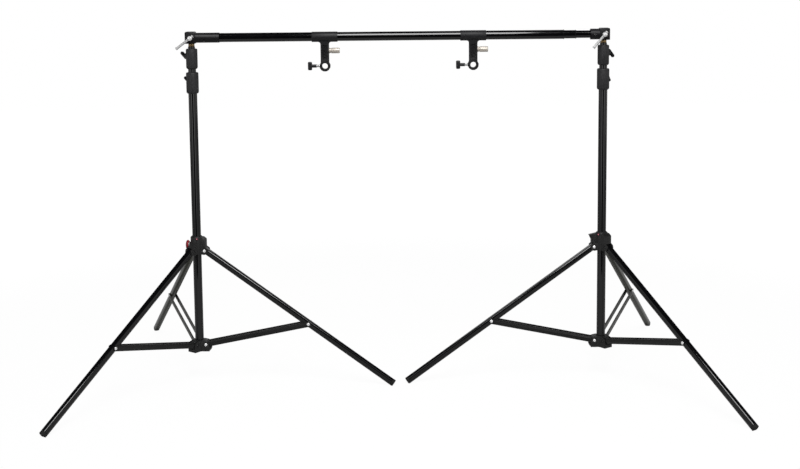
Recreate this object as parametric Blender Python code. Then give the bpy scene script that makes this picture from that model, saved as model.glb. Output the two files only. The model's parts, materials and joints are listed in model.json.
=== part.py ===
"""Backdrop stand: a telescopic crossbar with two accessory brackets, carried by two folding light stands.

Units are metres and +Z is up. +X runs along the crossbar and +Y points away from the viewer.
The floor is z = 0, and the origin lies on it under the middle of the bounding box.
"""
import math

import bmesh
import bpy
from mathutils import Matrix, Vector

MM = 0.001

# Clearance between pieces that touch, and the number of sides of round shapes
GAP = 0.3 * MM
TUBE_SIDES = 24
PIN_SIDES = 10
BOSS_SIDES = 16
ARC_STEPS = 3

# Telescopic tubes of the stands, from the lowest to the top one
TUBE_1_DIAMETER = 25.0 * MM
TUBE_2_DIAMETER = 22.5 * MM
TUBE_3_DIAMETER = 20.0 * MM
TUBE_3_WALL = 1.1 * MM
RISER_STEP = 12.0 * MM
PISTON_FLANGE = 3.0 * MM
PISTON_PLUG_LENGTH = 12.0 * MM

# Placing of the stands, and the bearing of the first leg of each
STAND_SPACING = 1176.0 * MM
LEFT_STAND_BEARING = math.radians(-7)
RIGHT_STAND_BEARING = math.radians(-55)
LEG_BEARINGS = (0.0, math.radians(-120), math.radians(120))

# Heights of the bar and of the fold's pivots when the stand is open
BAR_HEIGHT = 1005.0 * MM
HUB_PIVOT_HEIGHT = 388.5 * MM
BASE_PIVOT_HEIGHT = 110.5 * MM

# Distances of the pivots and of the feet from the column's axis
HUB_PIVOT_RADIUS = 24.5 * MM
BASE_PIVOT_RADIUS = 22.0 * MM
FOOT_CIRCLE_RADIUS = 572.0 * MM
FOOT_END_HEIGHT = 5.6 * MM
LEG_PIN_DISTANCE = 368.0 * MM

# Legs, their rubber feet and their braces
LEG_WIDTH = 17.5 * MM
LEG_HEIGHT = 19.5 * MM
LEG_CORNER = 6.0 * MM
LEG_WALL = 1.4 * MM
LEG_END_SOLID = 10.0 * MM
FOOT_LENGTH = 9.0 * MM
FOOT_PLUG_LENGTH = 18.0 * MM
STRIP_HEIGHT = 16.0 * MM
STRIP_THICKNESS = 2.0 * MM

# Pivot pins, with a domed head at each end
PIN_RADIUS = 2.5 * MM
PIN_HEAD_RADIUS = 4.2 * MM
PIN_HEAD_HEIGHT = 1.7 * MM

# Leg hub, which slides on the column: its sleeve and the plain, low and horned hoods over its legs
HUB_SLEEVE_RADIUS = 18.0 * MM
HUB_TOP = 43.0 * MM
HUB_BOTTOM = 10.0 * MM
HUB_TOP_CHAMFER = 4.0 * MM
CHEEK_THICKNESS = 3.5 * MM
CHEEK_RADIUS = 11.5 * MM
CHEEK_TOP_ANGLE = 30
HOOD_RADIUS = 26.5 * MM
HOOD_HEIGHT = 32.5 * MM
LOW_HOOD_WIDTH = 20.0 * MM
LOW_HOOD_HEIGHT = 12.5 * MM
LOW_HOOD_TOP = 24.0 * MM
HORNED_HOOD_WIDTH = 13.0 * MM
HORN_ROOT_RADIUS = 31.5 * MM
HORN_ROOT_HEIGHT = 20.0 * MM
HORN_TIP_RADIUS = 39.0 * MM
HORN_TIP_HEIGHT = 34.5 * MM
HORN_TIP_THICKNESS = 2.0 * MM

# Locking knob of the leg hub
HUB_KNOB_HEIGHT = 16.0 * MM
HUB_KNOB_RADIUS = 13.0 * MM
HUB_KNOB_LENGTH = 11.0 * MM
HUB_KNOB_LOBES = 8
HUB_KNOB_LOBE_DEPTH = 0.7 * MM
HUB_KNOB_EDGE = 2.2 * MM
HUB_BOSS_RADIUS = 8.5 * MM
HUB_BOSS_REACH = 20.5 * MM

# Base hub, fixed to the foot of the column
BASE_SLEEVE_RADIUS = 16.2 * MM
BASE_TOP = 12.0 * MM
BASE_BOTTOM = 21.0 * MM
BASE_FLOOR = 3.0 * MM
BASE_FORK_REACH = 10.0 * MM
BASE_FORK_TOP_ANGLE = 80
BASE_CHEEK_THICKNESS = 3.2 * MM
BASE_SKIRT_REACH = 14.0 * MM
BASE_SKIRT_WIDTH = 25.0 * MM
BASE_SKIRT_RISE = 8.0 * MM
BASE_SKIRT_EDGE = 3.2 * MM

# Collars that lock the risers
UPPER_COLLAR_DIAMETER = 33.0 * MM
UPPER_COLLAR_HEIGHT = 58.5 * MM
LOWER_COLLAR_DIAMETER = 35.5 * MM
LOWER_COLLAR_HEIGHT = 61.5 * MM
COLLAR_SPACE = 9.0 * MM
COLLAR_GRIP = 28.0 * MM
COLLAR_TOP_ROUND = 3.5 * MM
COLLAR_BOTTOM_ROUND = 6.0 * MM

# Winged knobs of the collars: how far each lies under its collar's top, where it points, how it is turned
COLLAR_BOSS_RADIUS = 7.5 * MM
COLLAR_BOSS_REACH = 4.0 * MM
WING_NECK_RADIUS = 4.8 * MM
WING_NECK_LENGTH = 3.5 * MM
WING_LENGTH = 30.0 * MM
WING_HEIGHT = 8.5 * MM
WING_DEPTH = 6.0 * MM
WING_CORNER = 3.0 * MM
LOCK_SCREW_RADIUS = 2.5 * MM
LEFT_UPPER_KNOB_DROP = 20.0 * MM
LEFT_UPPER_KNOB_BEARING = math.radians(150)
LEFT_UPPER_KNOB_TURN = math.radians(-50)
LEFT_LOWER_KNOB_DROP = 26.0 * MM
LEFT_LOWER_KNOB_BEARING = math.radians(125)
LEFT_LOWER_KNOB_TURN = math.radians(-40)
RIGHT_UPPER_KNOB_DROP = 25.0 * MM
RIGHT_UPPER_KNOB_BEARING = math.radians(30)
RIGHT_UPPER_KNOB_TURN = math.radians(130)
RIGHT_LOWER_KNOB_DROP = 26.0 * MM
RIGHT_LOWER_KNOB_BEARING = math.radians(54)
RIGHT_LOWER_KNOB_TURN = math.radians(156)

# Brass spigot on top of each stand
TOP_TUBE_SHOWING = 6.0 * MM
FLANGE_DIAMETER = 17.6 * MM
FLANGE_HEIGHT = 8.2 * MM
SPIGOT_DIAMETER = 16.0 * MM
SPIGOT_HEIGHT = 29.0 * MM
SPIGOT_PLUG_LENGTH = 22.0 * MM
SPIGOT_GROOVE_DEPTH = 1.4 * MM
SPIGOT_GROOVE_HEIGHT = 10.5 * MM

# Cast sockets of the crossbar
SOCKET_BELOW_BAR = 16.0 * MM
SOCKET_ABOVE_BAR = 17.5 * MM
SOCKET_INNER_SIDE = 12.0 * MM
SOCKET_OUTER_SIDE = 17.5 * MM
SOCKET_HALF_DEPTH = 16.5 * MM
SOCKET_CORNER = 8.0 * MM
SOCKET_TOP_ROUND = 4.0 * MM
SOCKET_ROOF = 3.5 * MM
SOCKET_PAD_RADIUS = 8.5 * MM
SOCKET_PAD_HEIGHT = 3.0 * MM
LEFT_FITTING_RADIUS = 14.3 * MM
LEFT_FITTING_LENGTH = 68.0 * MM
RIGHT_FITTING_RADIUS = 15.5 * MM
RIGHT_FITTING_LENGTH = 25.5 * MM

# Clamp screws of the sockets and their sliding tommy bars
CLAMP_SCREW_RADIUS = 4.0 * MM
CLAMP_HEAD_RADIUS = 6.5 * MM
CLAMP_HEAD_LENGTH = 14.0 * MM
TOMMY_RADIUS = 3.7 * MM
TOMMY_LENGTH = 61.0 * MM
TOMMY_END_RADIUS = 4.2 * MM
TOMMY_END_LENGTH = 4.0 * MM
TOMMY_END_EDGE = 0.8 * MM
LEFT_TOMMY_DROP = math.radians(37)
RIGHT_TOMMY_DROP = math.radians(50)
END_SCREW_RADIUS = 1.6 * MM
END_SCREW_HEAD_RADIUS = 3.0 * MM
END_SCREW_HEAD_HEIGHT = 1.2 * MM
END_SCREW_INSET = 12.0 * MM

# Crossbar tubes, measured from the left spigot's axis; the first one's end from the right spigot's axis
BAR_TUBE_1_DIAMETER = 26.0 * MM
BAR_TUBE_2_DIAMETER = 23.8 * MM
BAR_TUBE_3_DIAMETER = 21.6 * MM
BAR_TUBE_3_WALL = 1.1 * MM
BAR_TUBE_1_SHORT_OF_RIGHT = 113.0 * MM
BAR_TUBE_2_SHOWING = 34.5 * MM
BAR_TUBE_2_START = 88.0 * MM
BAR_TUBE_3_START = 108.0 * MM
BAR_LIP_LENGTH = 3.0 * MM
BAR_LIP_HEIGHT = 0.5 * MM

# Accessory brackets, measured from the axis of the left spigot to each stem
BRACKET_1_POSITION = 380.0 * MM
BRACKET_2_POSITION = 803.5 * MM
BRACKET_SLEEVE_LENGTH = 73.0 * MM
BRACKET_SLEEVE_WALL = 0.9 * MM
BRACKET_RAIL_HEIGHT = 0.5 * MM
BRACKET_DEPTH = 15.0 * MM
STEM_WIDTH = 24.0 * MM
STEM_FILLET = 7.0 * MM
STEM_RIM = 3.5 * MM
STEM_PANEL_DEPTH = 2.5 * MM
STEM_PANEL_TOP = 24.0 * MM
STEM_PANEL_BOTTOM = 65.0 * MM
STEM_PANEL_CORNER = 3.0 * MM
RING_DROP = 84.0 * MM
RING_RADIUS = 15.7 * MM
RING_HOLE_RADIUS = 8.3 * MM
STUD_DROP = 40.0 * MM
STUD_DIAMETER = 16.0 * MM
STUD_LENGTH = 30.0 * MM
STUD_FLANGE_LENGTH = 3.0 * MM
STUD_GROOVE_LENGTH = 3.0 * MM
STUD_GROOVE_RADIUS = 6.2 * MM
STUD_ROOT_RADIUS = 4.0 * MM
STUD_ROOT_LENGTH = 9.0 * MM
RING_SCREW_RADIUS = 3.0 * MM
RING_NECK_RADIUS = 4.7 * MM
RING_NECK_START = 24.0 * MM
RING_NECK_LENGTH = 13.0 * MM
RING_WING_LENGTH = 24.0 * MM
RING_WING_HEIGHT = 9.5 * MM
RING_WING_DEPTH = 12.0 * MM
RING_WING_CORNER = 3.5 * MM

# Finishes: base colour, roughness and metallic value
GLOSS_BLACK = ((0.012, 0.012, 0.013), 0.24, 0.0)
SATIN_BLACK = ((0.025, 0.025, 0.027), 0.50, 0.0)
CAST_GREY = ((0.033, 0.033, 0.035), 0.58, 0.2)
CHROME = ((0.80, 0.80, 0.81), 0.16, 1.0)
BRASS = ((0.42, 0.29, 0.10), 0.35, 1.0)
RUBBER = ((0.010, 0.010, 0.010), 0.80, 0.0)

# Worked out from the sizes above: tube radii, bores, the legs and the braces
TUBE_RADII = (TUBE_1_DIAMETER / 2, TUBE_2_DIAMETER / 2, TUBE_3_DIAMETER / 2)
TUBE_BORES = (TUBE_RADII[1] + GAP, TUBE_RADII[2] + GAP, TUBE_RADII[2] - TUBE_3_WALL)
BAR_RADII = (BAR_TUBE_1_DIAMETER / 2, BAR_TUBE_2_DIAMETER / 2, BAR_TUBE_3_DIAMETER / 2)
BAR_BORES = (BAR_RADII[1] + GAP, BAR_RADII[2] + GAP, BAR_RADII[2] - BAR_TUBE_3_WALL)
COLUMN_SEAT = TUBE_RADII[0] + GAP
PIN_HOLE_RADIUS = PIN_RADIUS + GAP
LEG_TILT = math.atan2(HUB_PIVOT_HEIGHT - FOOT_END_HEIGHT, FOOT_CIRCLE_RADIUS - HUB_PIVOT_RADIUS)
LEG_LENGTH = math.hypot(HUB_PIVOT_HEIGHT - FOOT_END_HEIGHT, FOOT_CIRCLE_RADIUS - HUB_PIVOT_RADIUS)
LEG_PIN_RADIUS = HUB_PIVOT_RADIUS + LEG_PIN_DISTANCE * math.cos(LEG_TILT)
LEG_PIN_HEIGHT = HUB_PIVOT_HEIGHT - LEG_PIN_DISTANCE * math.sin(LEG_TILT)
BRACE_LENGTH = math.hypot(LEG_PIN_RADIUS - BASE_PIVOT_RADIUS, LEG_PIN_HEIGHT - BASE_PIVOT_HEIGHT)
BRACE_RISE = math.atan2(LEG_PIN_HEIGHT - BASE_PIVOT_HEIGHT, LEG_PIN_RADIUS - BASE_PIVOT_RADIUS)
STRIP_INNER_SIDE = LEG_WIDTH / 2 + GAP
STRIP_OUTER_SIDE = STRIP_INNER_SIDE + STRIP_THICKNESS
CHEEK_OUTER_SIDE = LEG_WIDTH / 2 + GAP + CHEEK_THICKNESS
BASE_CHEEK_OUTER_SIDE = STRIP_OUTER_SIDE + GAP + BASE_CHEEK_THICKNESS

# Worked out heights, from the bar down
SOCKET_BOTTOM = BAR_HEIGHT - SOCKET_BELOW_BAR
FLANGE_BOTTOM = SOCKET_BOTTOM - GAP - FLANGE_HEIGHT
TOP_TUBE_END = FLANGE_BOTTOM - GAP
UPPER_COLLAR_TOP = TOP_TUBE_END - TOP_TUBE_SHOWING
UPPER_COLLAR_BOTTOM = UPPER_COLLAR_TOP - UPPER_COLLAR_HEIGHT
MIDDLE_TUBE_END = UPPER_COLLAR_BOTTOM + COLLAR_GRIP
LOWER_COLLAR_TOP = UPPER_COLLAR_BOTTOM - COLLAR_SPACE
LOWER_COLLAR_BOTTOM = LOWER_COLLAR_TOP - LOWER_COLLAR_HEIGHT
LOWER_TUBE_END = LOWER_COLLAR_BOTTOM + COLLAR_GRIP
LOWER_TUBE_START = BASE_PIVOT_HEIGHT - BASE_BOTTOM + BASE_FLOOR + GAP
MIDDLE_PISTON_START = LOWER_TUBE_START + RISER_STEP
MIDDLE_TUBE_START = MIDDLE_PISTON_START + PISTON_FLANGE + GAP
TOP_PISTON_START = MIDDLE_TUBE_START + PISTON_PLUG_LENGTH + RISER_STEP
TOP_TUBE_START = TOP_PISTON_START + PISTON_FLANGE + GAP


def arc(centre, radius, start, end, steps=ARC_STEPS):
    """Points of an arc between two angles in degrees, its ends included."""
    angles = [math.radians(start + (end - start) * i / steps) for i in range(steps + 1)]
    return [(centre[0] + radius * math.cos(a), centre[1] + radius * math.sin(a)) for a in angles]


def rounded_rectangle(half_width, half_height, corner, steps=2):
    """Outline of a rectangle with rounded corners, round the origin."""
    points = []
    for sign_u, sign_v, start in ((1, 1, 0), (-1, 1, 90), (-1, -1, 180), (1, -1, 270)):
        centre = (sign_u * (half_width - corner), sign_v * (half_height - corner))
        points += arc(centre, corner, start, start + 90, steps)
    return points


def solid_object(bm):
    """Turns a bmesh into an object with its faces outward."""
    bmesh.ops.remove_doubles(bm, verts=bm.verts, dist=MM / 1000)
    bmesh.ops.recalc_face_normals(bm, faces=bm.faces)
    mesh = bpy.data.meshes.new("solid")
    bm.to_mesh(mesh)
    bm.free()
    piece = bpy.data.objects.new("solid", mesh)
    bpy.context.collection.objects.link(piece)
    return piece


def along(axis):
    """Rotation that takes +Z to an axis."""
    return Vector((0, 0, 1)).rotation_difference(Vector(axis)).to_matrix().to_4x4()


def turned(profile, axis=(0, 0, 1), at=(0, 0, 0), sides=TUBE_SIDES):
    """Solid of revolution of (radius, height) points, its height along an axis from a point."""
    bm = bmesh.new()
    rim = [bm.verts.new((radius, 0, height)) for radius, height in profile]
    pairs = list(zip(rim, rim[1:] + rim[:1]))
    edges = [bm.edges.new(pair) for pair in pairs if max(pair[0].co.x, pair[1].co.x) > 0]
    bmesh.ops.spin(bm, geom=rim + edges, axis=(0, 0, 1), cent=(0, 0, 0), steps=sides, angle=math.tau)
    bmesh.ops.transform(bm, matrix=Matrix.Translation(at) @ along(axis), verts=bm.verts)
    return solid_object(bm)


def rod(radius, start, end, axis=(0, 0, 1), at=(0, 0, 0), sides=PIN_SIDES):
    """Plain round rod."""
    return turned([(0, start), (radius, start), (radius, end), (0, end)], axis, at, sides)


def tube(outer, bore, start, end, axis=(0, 0, 1), at=(0, 0, 0)):
    """Open tube."""
    return turned([(bore, start), (outer, start), (outer, end), (bore, end)], axis, at)


def extruded(outline, low, high, plane="XY"):
    """Closed outline in a plane, extruded along the third axis."""
    order = {"XY": lambda u, v, w: (u, v, w), "XZ": lambda u, v, w: (u, w, v), "YZ": lambda u, v, w: (w, u, v)}
    bm = bmesh.new()
    face = bm.faces.new([bm.verts.new(order[plane](u, v, low)) for u, v in outline])
    grown = bmesh.ops.extrude_face_region(bm, geom=[face])["geom"]
    shift = Vector(order[plane](0, 0, high - low))
    bmesh.ops.translate(bm, vec=shift, verts=[g for g in grown if isinstance(g, bmesh.types.BMVert)])
    return solid_object(bm)


def stacked(outline, rows):
    """Closed outline in the YZ plane, at places along X with a scale for each, joined into one solid."""
    bm = bmesh.new()
    rings = [[bm.verts.new((place, scale * u, scale * v)) for u, v in outline] for place, scale in rows]
    for lower, upper in zip(rings, rings[1:]):
        for i in range(len(outline)):
            bm.faces.new((lower[i - 1], lower[i], upper[i], upper[i - 1]))
    bm.faces.new(rings[0])
    bm.faces.new(rings[-1])
    return solid_object(bm)


def block(low, high):
    """Box between two corners."""
    outline = [(low[0], low[1]), (high[0], low[1]), (high[0], high[1]), (low[0], high[1])]
    return extruded(outline, low[2], high[2])


def bevelled(piece, width, steps, chosen):
    """Rounds the edges that a test of their two ends chooses."""
    bm = bmesh.new()
    bm.from_mesh(piece.data)
    edges = [edge for edge in bm.edges if chosen(edge.verts[0].co, edge.verts[1].co)]
    bmesh.ops.bevel(bm, geom=edges, offset=width, segments=steps, profile=0.5, affect="EDGES")
    bm.to_mesh(piece.data)
    bm.free()
    return piece


def moved(piece, matrix):
    """Moves a piece's mesh, not its origin."""
    piece.data.transform(matrix)
    return piece


def combined(piece, tool, operation):
    """Boolean of two pieces; the second is used up."""
    modifier = piece.modifiers.new(operation, "BOOLEAN")
    modifier.operation = operation
    modifier.solver = "EXACT"
    modifier.object = tool
    graph = bpy.context.evaluated_depsgraph_get()
    mesh = bpy.data.meshes.new_from_object(piece.evaluated_get(graph))
    piece.modifiers.clear()
    piece.data = mesh
    bpy.data.objects.remove(tool)
    return piece


def united(piece, *tools):
    for tool in tools:
        combined(piece, tool, "UNION")
    return piece


def cut(piece, *tools):
    for tool in tools:
        combined(piece, tool, "DIFFERENCE")
    return piece


def frame(name, parent=None, at=(0, 0, 0), bearing=0.0):
    """Empty that carries a set of pieces."""
    empty = bpy.data.objects.new(name, None)
    bpy.context.collection.objects.link(empty)
    empty.parent = parent
    empty.location = at
    empty.rotation_euler = (0, 0, bearing)
    return empty


def finished(piece, name, parent, finish, at=(0, 0, 0), tilt=0.0, bearing=0.0):
    """Names a piece, gives it its material, and places its origin."""
    piece.name = name
    piece.data.name = name
    piece.parent = parent
    piece.location = at
    piece.rotation_euler = (0, tilt, bearing)
    colour, roughness, metallic = finish
    material = bpy.data.materials.new(name)
    material.use_nodes = True
    shader = material.node_tree.nodes["Principled BSDF"]
    shader.inputs["Base Color"].default_value = (*colour, 1)
    shader.inputs["Roughness"].default_value = roughness
    shader.inputs["Metallic"].default_value = metallic
    piece.data.materials.clear()
    piece.data.materials.append(material)
    piece.data.shade_smooth()
    piece.data.set_sharp_from_angle(angle=math.radians(35))
    return piece


def polar(radius, bearing, height=0.0):
    """Point at a distance and bearing from an upright axis."""
    return Vector((radius * math.cos(bearing), radius * math.sin(bearing), height))


def dome(seat):
    """Profile of a rivet's head that lies on a seat, from its rim to its top."""
    return [(PIN_HEAD_RADIUS * math.cos(angle), seat + PIN_HEAD_HEIGHT * math.sin(angle))
            for angle in (0, math.pi / 4)] + [(0, seat + PIN_HEAD_HEIGHT)]


def rivet(half_length):
    """Rivet along Y with a domed head at each end, outside a half length."""
    half = [(PIN_RADIUS, half_length)] + dome(half_length)
    other = [(radius, -height) for radius, height in reversed(half)]
    return turned(other + half, axis=(0, 1, 0), sides=PIN_SIDES)


def rivet_head(seat, side, at):
    """One head of a rivet, with a short stretch of shank under it to sink in its seat."""
    profile = [(0, seat - MM), (PIN_RADIUS, seat - MM), (PIN_RADIUS, seat)] + dome(seat)
    return turned(profile, axis=(0, side, 0), at=at, sides=PIN_SIDES)


def base_hub(name, parent):
    """Cast foot of the column, with a fork for each brace over a skirt whose underside rises to its tip."""
    hub = turned([(0, -BASE_BOTTOM), (BASE_SLEEVE_RADIUS, -BASE_BOTTOM), (BASE_SLEEVE_RADIUS, BASE_TOP),
                  (0, BASE_TOP)])
    pivot = (BASE_PIVOT_RADIUS, 0)
    skirt_reach = BASE_PIVOT_RADIUS + BASE_SKIRT_REACH
    half_skirt = BASE_SKIRT_WIDTH / 2
    corner = half_skirt / 2
    fork_side = [(0, -BASE_BOTTOM + MM), (BASE_PIVOT_RADIUS + BASE_FORK_REACH, -BASE_BOTTOM + MM)]
    fork_side += arc(pivot, BASE_FORK_REACH, 0, BASE_FORK_TOP_ANGLE)
    fork_side += [(COLUMN_SEAT + MM, BASE_TOP), (0, BASE_TOP)]
    skirt_plan = [(0, -half_skirt)] + arc((skirt_reach - corner, corner - half_skirt), corner, -90, 0)
    skirt_plan += arc((skirt_reach - corner, half_skirt - corner), corner, 0, 90) + [(0, half_skirt)]
    tip = -BASE_BOTTOM + BASE_SKIRT_RISE
    skirt_side = [(0, -BASE_BOTTOM), (BASE_PIVOT_RADIUS, -BASE_BOTTOM), (skirt_reach + MM, tip),
                  (skirt_reach + MM, tip + BASE_SKIRT_EDGE), (0, tip + BASE_SKIRT_EDGE)]
    for bearing in LEG_BEARINGS:
        turn = Matrix.Rotation(bearing, 4, "Z")
        fork = extruded(fork_side, -BASE_CHEEK_OUTER_SIDE, BASE_CHEEK_OUTER_SIDE, "XZ")
        skirt = extruded(skirt_side, -BASE_SKIRT_WIDTH, BASE_SKIRT_WIDTH, "XZ")
        combined(skirt, extruded(skirt_plan, -2 * BASE_BOTTOM, 0), "INTERSECT")
        united(hub, moved(fork, turn), moved(skirt, turn))
    cut(hub, rod(COLUMN_SEAT, -BASE_BOTTOM + BASE_FLOOR, BASE_TOP + MM, sides=TUBE_SIDES))
    strip_end = STRIP_HEIGHT / 2 + 2 * GAP
    far = 2 * skirt_reach
    for bearing in LEG_BEARINGS:
        turn = Matrix.Rotation(bearing, 4, "Z")
        for side in (-1, 1):
            inner, outer = sorted((side * (STRIP_INNER_SIDE - GAP), side * (STRIP_OUTER_SIDE + GAP)))
            slot = block((BASE_PIVOT_RADIUS - strip_end, inner, -strip_end), (far, outer, far))
            cut(hub, moved(slot, turn))
        hole = rod(PIN_HOLE_RADIUS, -LEG_WIDTH, LEG_WIDTH, axis=(0, 1, 0), at=(BASE_PIVOT_RADIUS, 0, 0))
        cut(hub, moved(hole, turn))
    return finished(hub, name, parent, CAST_GREY, at=(0, 0, BASE_PIVOT_HEIGHT))


def cheek_side():
    """Side outline of the cheeks of one fork, from the hub's foot round the leg's pivot."""
    cheek = arc((HUB_PIVOT_RADIUS, 0), CHEEK_RADIUS, -90, CHEEK_TOP_ANGLE)
    top = [(HOOD_RADIUS, CHEEK_RADIUS), (0, CHEEK_RADIUS)]
    return [(0, -HUB_BOTTOM), (TUBE_RADII[0], -HUB_BOTTOM)] + cheek + top


def plain_hood():
    """Hood over the leg that is opposite the knob."""
    top = HUB_TOP - HUB_TOP_CHAMFER
    side = [(0, 0), (HOOD_RADIUS, 0), (HOOD_RADIUS, HOOD_HEIGHT), (HUB_SLEEVE_RADIUS, top), (0, top)]
    return extruded(side, -CHEEK_OUTER_SIDE, CHEEK_OUTER_SIDE, "XZ")


def low_hood():
    """Hood that leaves the knob beside it open to the front."""
    side = [(0, 0), (HOOD_RADIUS, 0), (HOOD_RADIUS, LOW_HOOD_HEIGHT), (HUB_SLEEVE_RADIUS, LOW_HOOD_TOP),
            (0, LOW_HOOD_TOP)]
    return extruded(side, -LOW_HOOD_WIDTH / 2, LOW_HOOD_WIDTH / 2, "XZ")


def horned_hood():
    """Narrow hood beside the knob, which ends in a horn."""
    side = [(0, 0), (HORN_ROOT_RADIUS, 0), (HORN_ROOT_RADIUS, HORN_ROOT_HEIGHT),
            (HORN_TIP_RADIUS - HORN_TIP_THICKNESS, HORN_TIP_HEIGHT - HORN_TIP_THICKNESS),
            (HORN_TIP_RADIUS, HORN_TIP_HEIGHT), (HUB_SLEEVE_RADIUS, HUB_TOP - HUB_TOP_CHAMFER),
            (0, HUB_TOP - HUB_TOP_CHAMFER)]
    return extruded(side, -HORNED_HOOD_WIDTH / 2, HORNED_HOOD_WIDTH / 2, "XZ")


def leg_hub(name, parent, hoods):
    """Cast hub that slides on the column: a hooded fork for each leg and a boss opposite the first leg."""
    radius = HUB_SLEEVE_RADIUS
    hub = turned([(0, -HUB_BOTTOM), (radius, -HUB_BOTTOM), (radius, HUB_TOP - HUB_TOP_CHAMFER),
                  (radius - HUB_TOP_CHAMFER, HUB_TOP), (0, HUB_TOP)])
    for bearing, hood in zip(LEG_BEARINGS, hoods):
        turn = Matrix.Rotation(bearing, 4, "Z")
        cheeks = extruded(cheek_side(), -CHEEK_OUTER_SIDE, CHEEK_OUTER_SIDE, "XZ")
        united(hub, moved(cheeks, turn), moved(hood(), turn))
    knob_place = (0, 0, HUB_KNOB_HEIGHT)
    boss = rod(HUB_BOSS_RADIUS, 0, HUB_BOSS_REACH, axis=(-1, 0, 0), at=knob_place, sides=BOSS_SIDES)
    united(hub, boss)
    end_radius = LEG_HEIGHT / 2 + GAP
    slot_half = LEG_WIDTH / 2 + GAP
    far = HUB_PIVOT_RADIUS + 3 * LEG_HEIGHT
    slot_side = arc((HUB_PIVOT_RADIUS, 0), end_radius, 180, 90, 3 * ARC_STEPS)
    slot_side += [(far, end_radius), (far, -far), (HUB_PIVOT_RADIUS - end_radius, -far)]
    for bearing in LEG_BEARINGS:
        turn = Matrix.Rotation(bearing, 4, "Z")
        slot = extruded(slot_side, -slot_half, slot_half, "XZ")
        hole = rod(PIN_HOLE_RADIUS, -LEG_HEIGHT, LEG_HEIGHT, axis=(0, 1, 0), at=(HUB_PIVOT_RADIUS, 0, 0))
        cut(hub, moved(slot, turn), moved(hole, turn))
    screw_hole = rod(LOCK_SCREW_RADIUS + GAP, COLUMN_SEAT / 2, HUB_BOSS_REACH + MM, axis=(-1, 0, 0),
                     at=knob_place)
    cut(hub, screw_hole, rod(COLUMN_SEAT, -HUB_TOP, HUB_TOP + MM, sides=TUBE_SIDES))
    return finished(hub, name, parent, CAST_GREY, at=(0, 0, HUB_PIVOT_HEIGHT))


def hub_knob(name, parent):
    """Lobed knob whose screw locks the hub on the column; its origin is on the screw's axis."""
    seat = HUB_BOSS_REACH + GAP
    end = seat + HUB_KNOB_LENGTH
    points = HUB_KNOB_LOBES * 4
    lobes = []
    for i in range(points):
        angle = math.tau * i / points
        radius = HUB_KNOB_RADIUS - HUB_KNOB_LOBE_DEPTH * (1 - math.cos(HUB_KNOB_LOBES * angle))
        lobes.append((radius * math.cos(angle), radius * math.sin(angle)))
    edge = HUB_KNOB_EDGE
    end_scale = 1 - edge / HUB_KNOB_RADIUS
    knob = stacked(lobes, [(seat, end_scale), (seat + edge, 1), (end - edge, 1), (end, end_scale)])
    united(knob, rod(LOCK_SCREW_RADIUS, COLUMN_SEAT, seat + MM, axis=(1, 0, 0)))
    return finished(knob, name, parent, SATIN_BLACK, at=(0, 0, HUB_PIVOT_HEIGHT + HUB_KNOB_HEIGHT),
                    bearing=math.pi)


def leg(name, parent, bearing):
    """Hollow leg with a solid round end and its rivet at the hub, along +X from its pivot."""
    end = LEG_LENGTH - FOOT_LENGTH
    radius = LEG_HEIGHT / 2
    body = extruded(rounded_rectangle(LEG_WIDTH / 2, radius, LEG_CORNER), -radius, end, "YZ")
    side = arc((0, 0), radius, 90, 270, 2 * ARC_STEPS) + [(end + MM, -radius), (end + MM, radius)]
    combined(body, extruded(side, -LEG_WIDTH, LEG_WIDTH, "XZ"), "INTERSECT")
    hollow = rounded_rectangle(LEG_WIDTH / 2 - LEG_WALL, radius - LEG_WALL, LEG_CORNER - LEG_WALL)
    hole = rod(PIN_HOLE_RADIUS, -LEG_WIDTH, LEG_WIDTH, axis=(0, 1, 0), at=(LEG_PIN_DISTANCE, 0, 0))
    cut(body, extruded(hollow, LEG_END_SOLID, end + MM, "YZ"), hole)
    united(body, rivet(CHEEK_OUTER_SIDE + GAP))
    return finished(body, name, parent, GLOSS_BLACK, at=polar(HUB_PIVOT_RADIUS, bearing, HUB_PIVOT_HEIGHT),
                    tilt=LEG_TILT, bearing=bearing)


def foot(name, parent, bearing):
    """Rubber plug of a leg, worn flat where it stands on the floor; its origin is the leg's pivot."""
    start = LEG_LENGTH - FOOT_LENGTH + GAP
    radius = LEG_HEIGHT / 2
    head = extruded(rounded_rectangle(LEG_WIDTH / 2, radius, LEG_CORNER), start, LEG_LENGTH, "YZ")
    inset = LEG_WALL + GAP
    plug = rounded_rectangle(LEG_WIDTH / 2 - inset, radius - inset, LEG_CORNER - inset)
    united(head, extruded(plug, start - FOOT_PLUG_LENGTH, start + MM, "YZ"))
    far = 2 * LEG_LENGTH
    ground = block((-far, -far, -far), (far, far, -HUB_PIVOT_HEIGHT))
    cut(head, moved(ground, Matrix.Rotation(-LEG_TILT, 4, "Y")))
    return finished(head, name, parent, RUBBER, at=polar(HUB_PIVOT_RADIUS, bearing, HUB_PIVOT_HEIGHT),
                    tilt=LEG_TILT, bearing=bearing)


def brace(name, parent, bearing):
    """Pair of flat strips joined by their rivet in the base hub, with rivet heads at the leg too."""
    radius = STRIP_HEIGHT / 2
    outline = arc((BRACE_LENGTH, 0), radius, -90, 90) + arc((0, 0), radius, 90, 270)
    pair = rivet(BASE_CHEEK_OUTER_SIDE + GAP)
    for side in (-1, 1):
        inner, outer = sorted((side * STRIP_INNER_SIDE, side * STRIP_OUTER_SIDE))
        strip = extruded(outline, inner, outer, "XZ")
        united(strip, rivet_head(STRIP_OUTER_SIDE, side, (BRACE_LENGTH, 0, 0)))
        united(pair, strip)
    return finished(pair, name, parent, SATIN_BLACK, at=polar(BASE_PIVOT_RADIUS, bearing, BASE_PIVOT_HEIGHT),
                    tilt=-BRACE_RISE, bearing=bearing)


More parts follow.
